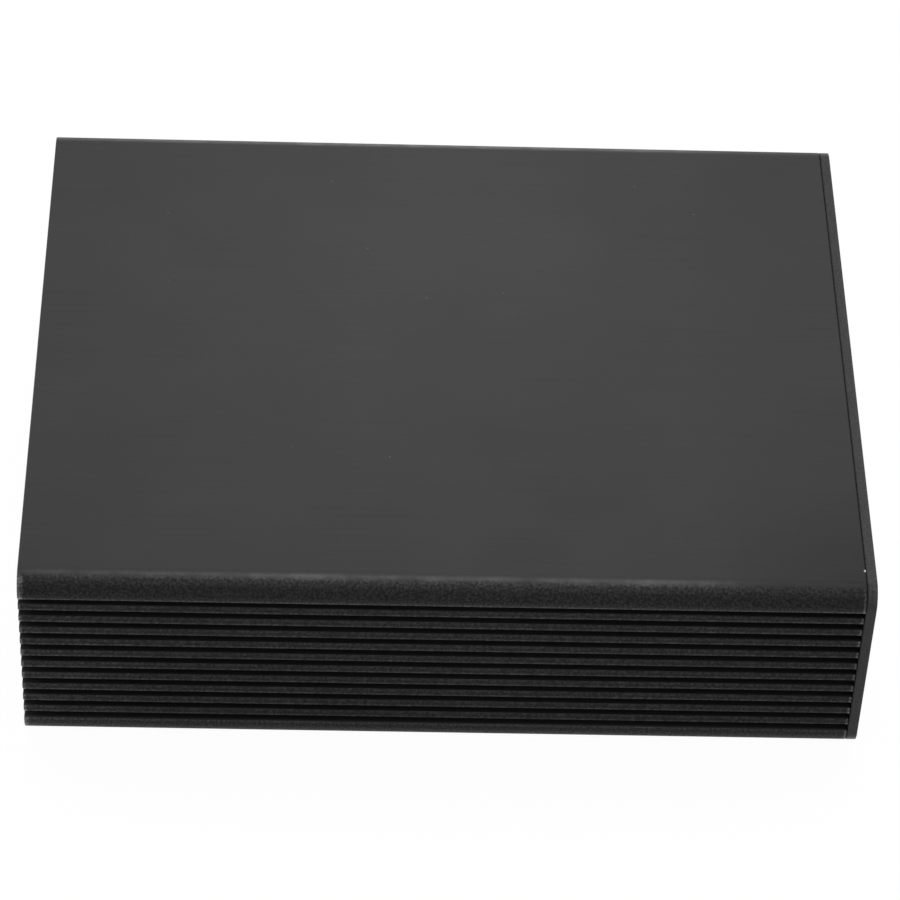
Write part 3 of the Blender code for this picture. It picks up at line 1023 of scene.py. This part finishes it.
def rib_edge_highlight(metal):
    """Painted highlights on the ribs' edges, the lower ones most, and on the band over the
    grooves.
    """
    sizes, finish = metal.sizes, metal.finish
    along, back, up = metal.spot
    pitch = rib_pitch(sizes)
    lower = sizes.groove_width / 2 / pitch
    width = finish.edge_width / pitch
    height = up - MID_HEIGHT
    row = height / pitch
    within = maths("FRACT", row)
    face = HALF_WIDTH - sizes.rib_setback - sizes.rib_edge_radius
    # where the painted highlight lies along the ribs' edges, patchy with the grain
    rubbed = (
        (abs(row) < sizes.groove_count / 2)
        * abs(back).ramp(face - sizes.rib_edge_radius, face)
        * metal.grain.ramp(*EDGE_PATCHES)
    )
    below = within.ramp(lower + width, lower, 0, finish.lower_edge_highlight)
    above = within.ramp(1 - lower - width, 1 - lower, 0, finish.upper_edge_highlight)
    mouth = band_level(sizes)
    over_mouth = height.ramp(mouth + finish.mouth_width, mouth, 0, finish.mouth_highlight)
    return 1 + rubbed * (below + above) + over_mouth * (height > mouth)


def blasted_body(sizes, finish):
    """Black anodised body: a rubbed flat top and base, coarser blasted rounds and ribs.

    The flats' borders and the rims at the sawn ends are paler, partly rubbed and partly painted
    highlight;
    the ribs' edges carry painted highlights, the foot and lower ribs painted light, and the
    rounds, the grooves and the edge at the plate's seam painted shade. The top has a painted pool
    of light. A few dust grains lie on the top, and two of the edges at the plate have a chip down
    to the bare metal.
    """
    metal = Metal("blasted_anodised", sizes, finish)
    ragged = noise(metal.place, finish.grain_size * 2, detail=3)
    upright = metal.facing[2] + swing(ragged, BORDER_RAGGEDNESS)
    flat = upright.ramp(*SHADED_BORDER)
    curved = upright.ramp(*BLASTED_BORDER)
    ends = metal.facing[0].ramp(*SAWN_BORDER)
    skin = 1 - ends
    mottle = metal.grain.ramp(*MOTTLE_SPREAD, -finish.mottle / 2, finish.mottle)
    shade = (
        oxide_shade(metal)
        * painted_pool_and_patches(metal, flat)
        # the rounds darker than the flats: partly their blasted finish, partly painted shade as
        # they turn from upright
        * flat.ramp(0, 1, finish.rounds_blast_and_shade)
        * sawn_shade(metal, ends)
        * crest_wear_and_highlight(metal, upright)
        * (1 + mottle * curved * skin)
        * skin.ramp(0, 1, 1, rim_wear_and_highlight(metal, upright))
        * seam_painted_shade(BODY_HIGH.x - metal.spot[0], finish)
        * rib_edge_highlight(metal)
        * foot_painted_light(metal, curved)
        * ribs_painted_light_and_shade(metal, curved)
    )
    paint = tinted(finish.anodised, shade)
    for along, back, radius in DUST_PLACES:
        paint = spotted(metal, paint, (along, back, BODY_HIGH.z), radius, finish.dust)
    for place, radius in CHIPS:
        paint = spotted(metal, paint, place, radius, finish.bare)
    relief = metal.grain * flat.ramp(0, 1, 1, finish.flat_relief)
    roughness = uneven(metal, finish.roughness)
    return metal.finished(paint, roughness, finish.specular, relief, finish.grain_height)


def sheared_plate(sizes, finish):
    """Black anodised plate: blasted faces, and a smoother sheared edge with fine streaks."""
    metal = Metal("sheared_anodised", sizes, finish)
    face = metal.facing[0].ramp(*PLATE_FACE_BORDER)
    fine = 1 / finish.line_size
    drawn_out = fine / STREAK_LENGTH
    streaks = lined(metal.place, fine * STREAK_FINENESS, drawn_out, drawn_out)
    # where the painted highlight on the plate's rounded corners lies
    corner = (metal.facing[1] * metal.facing[2]).ramp(*ROUND_MIDDLE)
    along = metal.spot[0]
    to_seam = along - PLATE_LOW.x
    off_line = abs(to_seam - (finish.seam_width + LINE_WIDTH / 2))
    line = off_line.ramp(LINE_WIDTH, 0) * corner
    edge_shade = (
        (1 + swing(streaks, finish.streak_depth) + swing(metal.grain, finish.edge_grain))
        * along.ramp(PLATE_HIGH.x - BURR_WIDTH, PLATE_HIGH.x, 1, BURR_SHADE)
        * corner.ramp(0, 1, 1, PLATE_CORNER_HIGHLIGHT)
        * line.ramp(0, 1, 1, CORNER_LINE_HIGHLIGHT)
        * seam_painted_shade(to_seam, finish)
    )
    edge = tinted(finish.plate_edge, edge_shade)
    paint = mixed(face, edge, tinted(finish.anodised, oxide_shade(metal)))
    roughness = face.ramp(0, 1, finish.edge_roughness, finish.roughness)
    relief = metal.grain * face.ramp(0, 1, *PLATE_RELIEF)
    return metal.finished(paint, roughness, finish.edge_specular, relief, finish.grain_height)


def blackened_screw(sizes, finish):
    """Black oxide on steel, with a little wear in the grain."""
    metal = Metal("screw_black_oxide", sizes, finish)
    paint = tinted(finish.screw, oxide_shade(metal))
    roughness = uneven(metal, finish.edge_roughness)
    height = finish.grain_height * SCREW_RELIEF
    return metal.finished(paint, roughness, finish.edge_specular, metal.grain, height)


def grey(albedo):
    return (albedo, albedo, albedo, 1)


def add_floor(studio):
    """A pale floor that shows white with the case's soft shadow, and returns less light."""
    half = studio.floor_size / 2
    mesh = bpy.data.meshes.new("studio_floor")
    corners = [(-half, -half, 0), (half, -half, 0), (half, half, 0), (-half, half, 0)]
    mesh.from_pydata(corners, [], [(0, 1, 2, 3)])
    material = bpy.data.materials.new("pale_floor")
    material.use_nodes = True
    tree = material.node_tree
    tree.nodes.remove(tree.nodes["Principled BSDF"])
    bounce = value_of(tree, "ShaderNodeBsdfDiffuse", {"Color": grey(studio.floor_bounce)})
    shadow = value_of(tree, "ShaderNodeBsdfDiffuse", {"Color": grey(studio.floor_shadow)})
    white = value_of(
        tree, "ShaderNodeEmission", {"Strength": 1 - studio.floor_shadow * FLOOR_LIGHT}
    )
    seen = value_of(tree, "ShaderNodeAddShader", {0: shadow, 1: white})
    surface = value_of(tree, "ShaderNodeMixShader", {0: seen_ray(tree), 1: bounce, 2: seen})
    clear = value_of(tree, "ShaderNodeBsdfTransparent")
    underneath = Value(node(tree, "ShaderNodeNewGeometry").outputs["Backfacing"])
    one_sided = value_of(tree, "ShaderNodeMixShader", {0: underneath, 1: surface, 2: clear})
    tree.links.new(one_sided.socket, tree.nodes["Material Output"].inputs["Surface"])
    mesh.materials.append(material)
    placed("studio_floor", mesh)


def add_world(studio):
    """A white light tent that is dark on the front, where the camera stands in its opening."""
    world = bpy.data.worlds.new("light_tent")
    bpy.context.scene.world = world
    world.use_nodes = True
    tree = world.node_tree
    background = tree.nodes["Background"]
    background.inputs["Color"].default_value = grey(1)
    direction = Value(node(tree, "ShaderNodeTexCoord").outputs["Generated"])
    opening = Vector((0, -math.cos(OPENING_RISE), math.sin(OPENING_RISE)))
    towards = vector_maths("DOT_PRODUCT", direction, opening, "Value")
    light = towards.ramp(
        *OPENING_EDGE, studio.tent_level, studio.front_level, interpolation_type="SMOOTHSTEP"
    )
    shown = value_of(tree, "ShaderNodeMix", {"Factor": seen_ray(tree), "A": light, "B": 1.0})
    tree.links.new(shown.socket, background.inputs["Strength"])


def seen_ray(tree):
    """One for rays that show the background: the camera's, and those in metal and glass."""
    path = node(tree, "ShaderNodeLightPath").outputs
    camera, glossy, through = (
        Value(path[f"Is {kind} Ray"]) for kind in ("Camera", "Glossy", "Transmission")
    )
    return maths("MAXIMUM", camera, maths("MAXIMUM", glossy, through))


def add_soft_box(studio):
    """The large soft lamp over the case, a little behind it."""
    light = bpy.data.lights.new("soft_box", "AREA")
    light.shape = "RECTANGLE"
    light.size = studio.box_width
    light.size_y = studio.box_depth
    light.energy = studio.box_level * math.pi * studio.box_width * studio.box_depth
    lamp = placed("soft_box", light)
    lamp.location = (0, studio.box_back, studio.box_height)
    lamp.rotation_euler = (-lamp.location).to_track_quat("-Z", "Y").to_euler()


def add_camera(studio):
    data = bpy.data.cameras.new("camera")
    data.sensor_width = 36
    data.lens = studio.lens
    data.clip_start = 0.01
    camera = placed("camera", data)
    place = Vector(CAMERA_PLACE)
    aimed = (Vector(CAMERA_AIM) - place).to_track_quat("-Z", "Y").to_matrix().to_4x4()
    roll = Matrix.Rotation(CAMERA_ROLL, 4, "Z")
    camera.matrix_world = Matrix.Translation(place) @ aimed @ roll
    bpy.context.scene.camera = camera


class ENCLOSURE_OT_stage(bpy.types.Operator):
    """Sets the floor, the light tent, the soft box and the camera"""

    bl_idname = "enclosure.stage"
    bl_label = "Set the Stage"

    def execute(self, context):
        studio = context.scene.enclosure_studio
        context.scene.view_settings.view_transform = "Standard"
        add_floor(studio)
        add_world(studio)
        add_soft_box(studio)
        add_camera(studio)
        return {"FINISHED"}


class ENCLOSURE_OT_body(bpy.types.Operator):
    """Makes the ribbed body with its board slots and screw ports"""

    bl_idname = "enclosure.body"
    bl_label = "Make the Body"

    def execute(self, context):
        sizes = context.scene.enclosure_sizes
        rib = drawn("rib_line", [rib_line(sizes)])
        body = grown(
            drawn("body_lines", [*band_lines(sizes), cavity_line(sizes)]),
            "enclosure_body",
            body_tree(section_tree()),
            Matrix.Translation((BODY_HIGH.x, 0, MID_HEIGHT)) @ LENGTHWISE,
            rib=rib,
            ribs=sizes.groove_count - 1,
            rib_pitch=rib_pitch(sizes),
            length=BODY_HIGH.x - BODY_LOW.x,
            edge_round=sizes.edge_round,
            edge_steps=sizes.edge_steps,
            finish=blasted_body(sizes, context.scene.enclosure_finish),
        )
        bpy.data.objects.remove(rib, do_unlink=True)
        settle(body, "body_extrusion")
        return {"FINISHED"}


class ENCLOSURE_OT_end_plate(bpy.types.Operator):
    """Makes the end plate with its countersunk holes"""

    bl_idname = "enclosure.end_plate"
    bl_label = "Make the End Plate"

    def execute(self, context):
        sizes = context.scene.enclosure_sizes
        thickness = PLATE_HIGH.x - PLATE_LOW.x
        across, up = port_place(sizes)
        cutter = countersink(sizes, thickness)
        plate = grown(
            drawn("plate_line", [plate_line(sizes)]),
            "enclosure_end_plate",
            plate_tree(section_tree()),
            Matrix.Translation((PLATE_HIGH.x, 0, MID_HEIGHT)) @ LENGTHWISE,
            countersink=cutter,
            hole_across=across,
            hole_up=up,
            length=thickness,
            edge_round=sizes.plate_edge_round,
            edge_steps=sizes.edge_steps,
            finish=sheared_plate(sizes, context.scene.enclosure_finish),
        )
        bpy.data.objects.remove(cutter, do_unlink=True)
        settle(plate, "end_plate")
        return {"FINISHED"}


def countersink(sizes, thickness):
    """The cutter of a countersunk hole, from above the plate's face to below its back."""
    over = thickness
    mouth = sizes.head_radius + sizes.head_gap
    profile = [
        (0, over),
        (mouth + over, over),
        (sizes.hole_radius, sizes.hole_radius - mouth),
        (sizes.hole_radius, -thickness - over),
        (0, -thickness - over),
    ]
    return turned("countersink", profile, COUNTERSINK_STEPS)


class ENCLOSURE_OT_screws(bpy.types.Operator):
    """Makes the countersunk screws of the end plate"""

    bl_idname = "enclosure.screws"
    bl_label = "Make the Screws"

    def execute(self, context):
        sizes = context.scene.enclosure_sizes
        tree = screw_tree()
        material = blackened_screw(sizes, context.scene.enclosure_finish)
        recess = cross_recess(sizes)
        for name in SCREW_NODES:
            low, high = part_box(name)
            middle = (low + high) / 2
            spin = math.radians(SCREW_TURNS[name.removeprefix("plate_screw_")])
            place = Matrix.Translation((high.x, middle.y, middle.z)) @ LENGTHWISE
            screw = grown(
                turned("screw_blank", screw_profile(sizes), SCREW_STEPS),
                name.replace("plate_screw", "enclosure_screw"),
                tree,
                place @ Matrix.Rotation(spin, 4, "Z"),
                recess=recess,
                thread_pitch=sizes.thread_pitch,
                thread_height=sizes.thread_height,
                thread_top=-sizes.thread_pitch * PLAIN_TURNS,
                thread_end=-sizes.screw_length,
                shank_radius=sizes.shank_radius,
                finish=material,
            )
            settle(screw, name)
        bpy.data.objects.remove(recess, do_unlink=True)
        return {"FINISHED"}


def screw_profile(sizes):
    """Head, shank and tip from top to bottom, with enough rows on the shank for the thread."""
    neck = sizes.shank_radius - sizes.head_radius - sizes.head_rim
    tip = TIP_LENGTH - sizes.screw_length
    rows = math.ceil((neck - tip) / sizes.thread_pitch * ROWS_PER_TURN)
    shank = [(sizes.shank_radius, neck + (tip - neck) * row / rows) for row in range(rows + 1)]
    crown = sizes.head_rim / 2
    return [
        (0, 0),
        (sizes.head_radius - crown, 0),
        (sizes.head_radius, -crown),
        (sizes.head_radius, -sizes.head_rim),
        *shank,
        (sizes.shank_radius / 2, -sizes.screw_length),
        (0, -sizes.screw_length),
    ]


def cross_recess(sizes):
    """The driver recess as a cutter: two crossed wings that narrow towards their floor."""
    span = sizes.recess_span / 2
    wing = sizes.recess_wing / 2
    depth = sizes.recess_depth
    outline = []
    for turn in range(4):
        spin = Matrix.Rotation(turn * math.pi / 2, 2)
        outline += [spin @ Vector(point) for point in ((span, wing), (wing, wing), (wing, span))]
    work = bmesh.new()
    lower, upper = (
        [work.verts.new((point.x * scale, point.y * scale, height)) for point in outline]
        for scale, height in ((RECESS_TAPER, -depth), (2 - RECESS_TAPER, depth))
    )
    work.faces.new(lower[::-1])
    work.faces.new(upper)
    for index in range(len(outline)):
        after = (index + 1) % len(outline)
        work.faces.new((lower[index], lower[after], upper[after], upper[index]))
    return meshed("cross_recess", work)


class ENCLOSURE_PT_panel(bpy.types.Panel):
    """The enclosure's sizes, finish and light, with a button for each group of pieces"""

    bl_idname = "ENCLOSURE_PT_panel"
    bl_label = "Project Enclosure"
    bl_space_type = "VIEW_3D"
    bl_region_type = "UI"
    bl_category = "Enclosure"

    def draw(self, context):
        for operator in OPERATORS:
            self.layout.operator(operator.bl_idname)
        for group, kind in SETTINGS.items():
            column = self.layout.column(align=True)
            for name in kind.__annotations__:
                column.prop(getattr(context.scene, group), name)


SETTINGS = {
    "enclosure_sizes": EnclosureSizes,
    "enclosure_finish": EnclosureFinish,
    "enclosure_studio": EnclosureStudio,
}
OPERATORS = (
    ENCLOSURE_OT_stage,
    ENCLOSURE_OT_body,
    ENCLOSURE_OT_end_plate,
    ENCLOSURE_OT_screws,
)


def register():
    for kind in (*SETTINGS.values(), *OPERATORS, ENCLOSURE_PT_panel):
        bpy.utils.register_class(kind)
    for name, kind in SETTINGS.items():
        setattr(bpy.types.Scene, name, PointerProperty(type=kind))


def unregister():
    for name in SETTINGS:
        delattr(bpy.types.Scene, name)
    for kind in (ENCLOSURE_PT_panel, *reversed(OPERATORS), *reversed(SETTINGS.values())):
        bpy.utils.unregister_class(kind)


def main():
    register()
    bpy.ops.enclosure.stage()
    bpy.ops.enclosure.body()
    bpy.ops.enclosure.end_plate()
    bpy.ops.enclosure.screws()


if __name__ == "__main__":
    main()
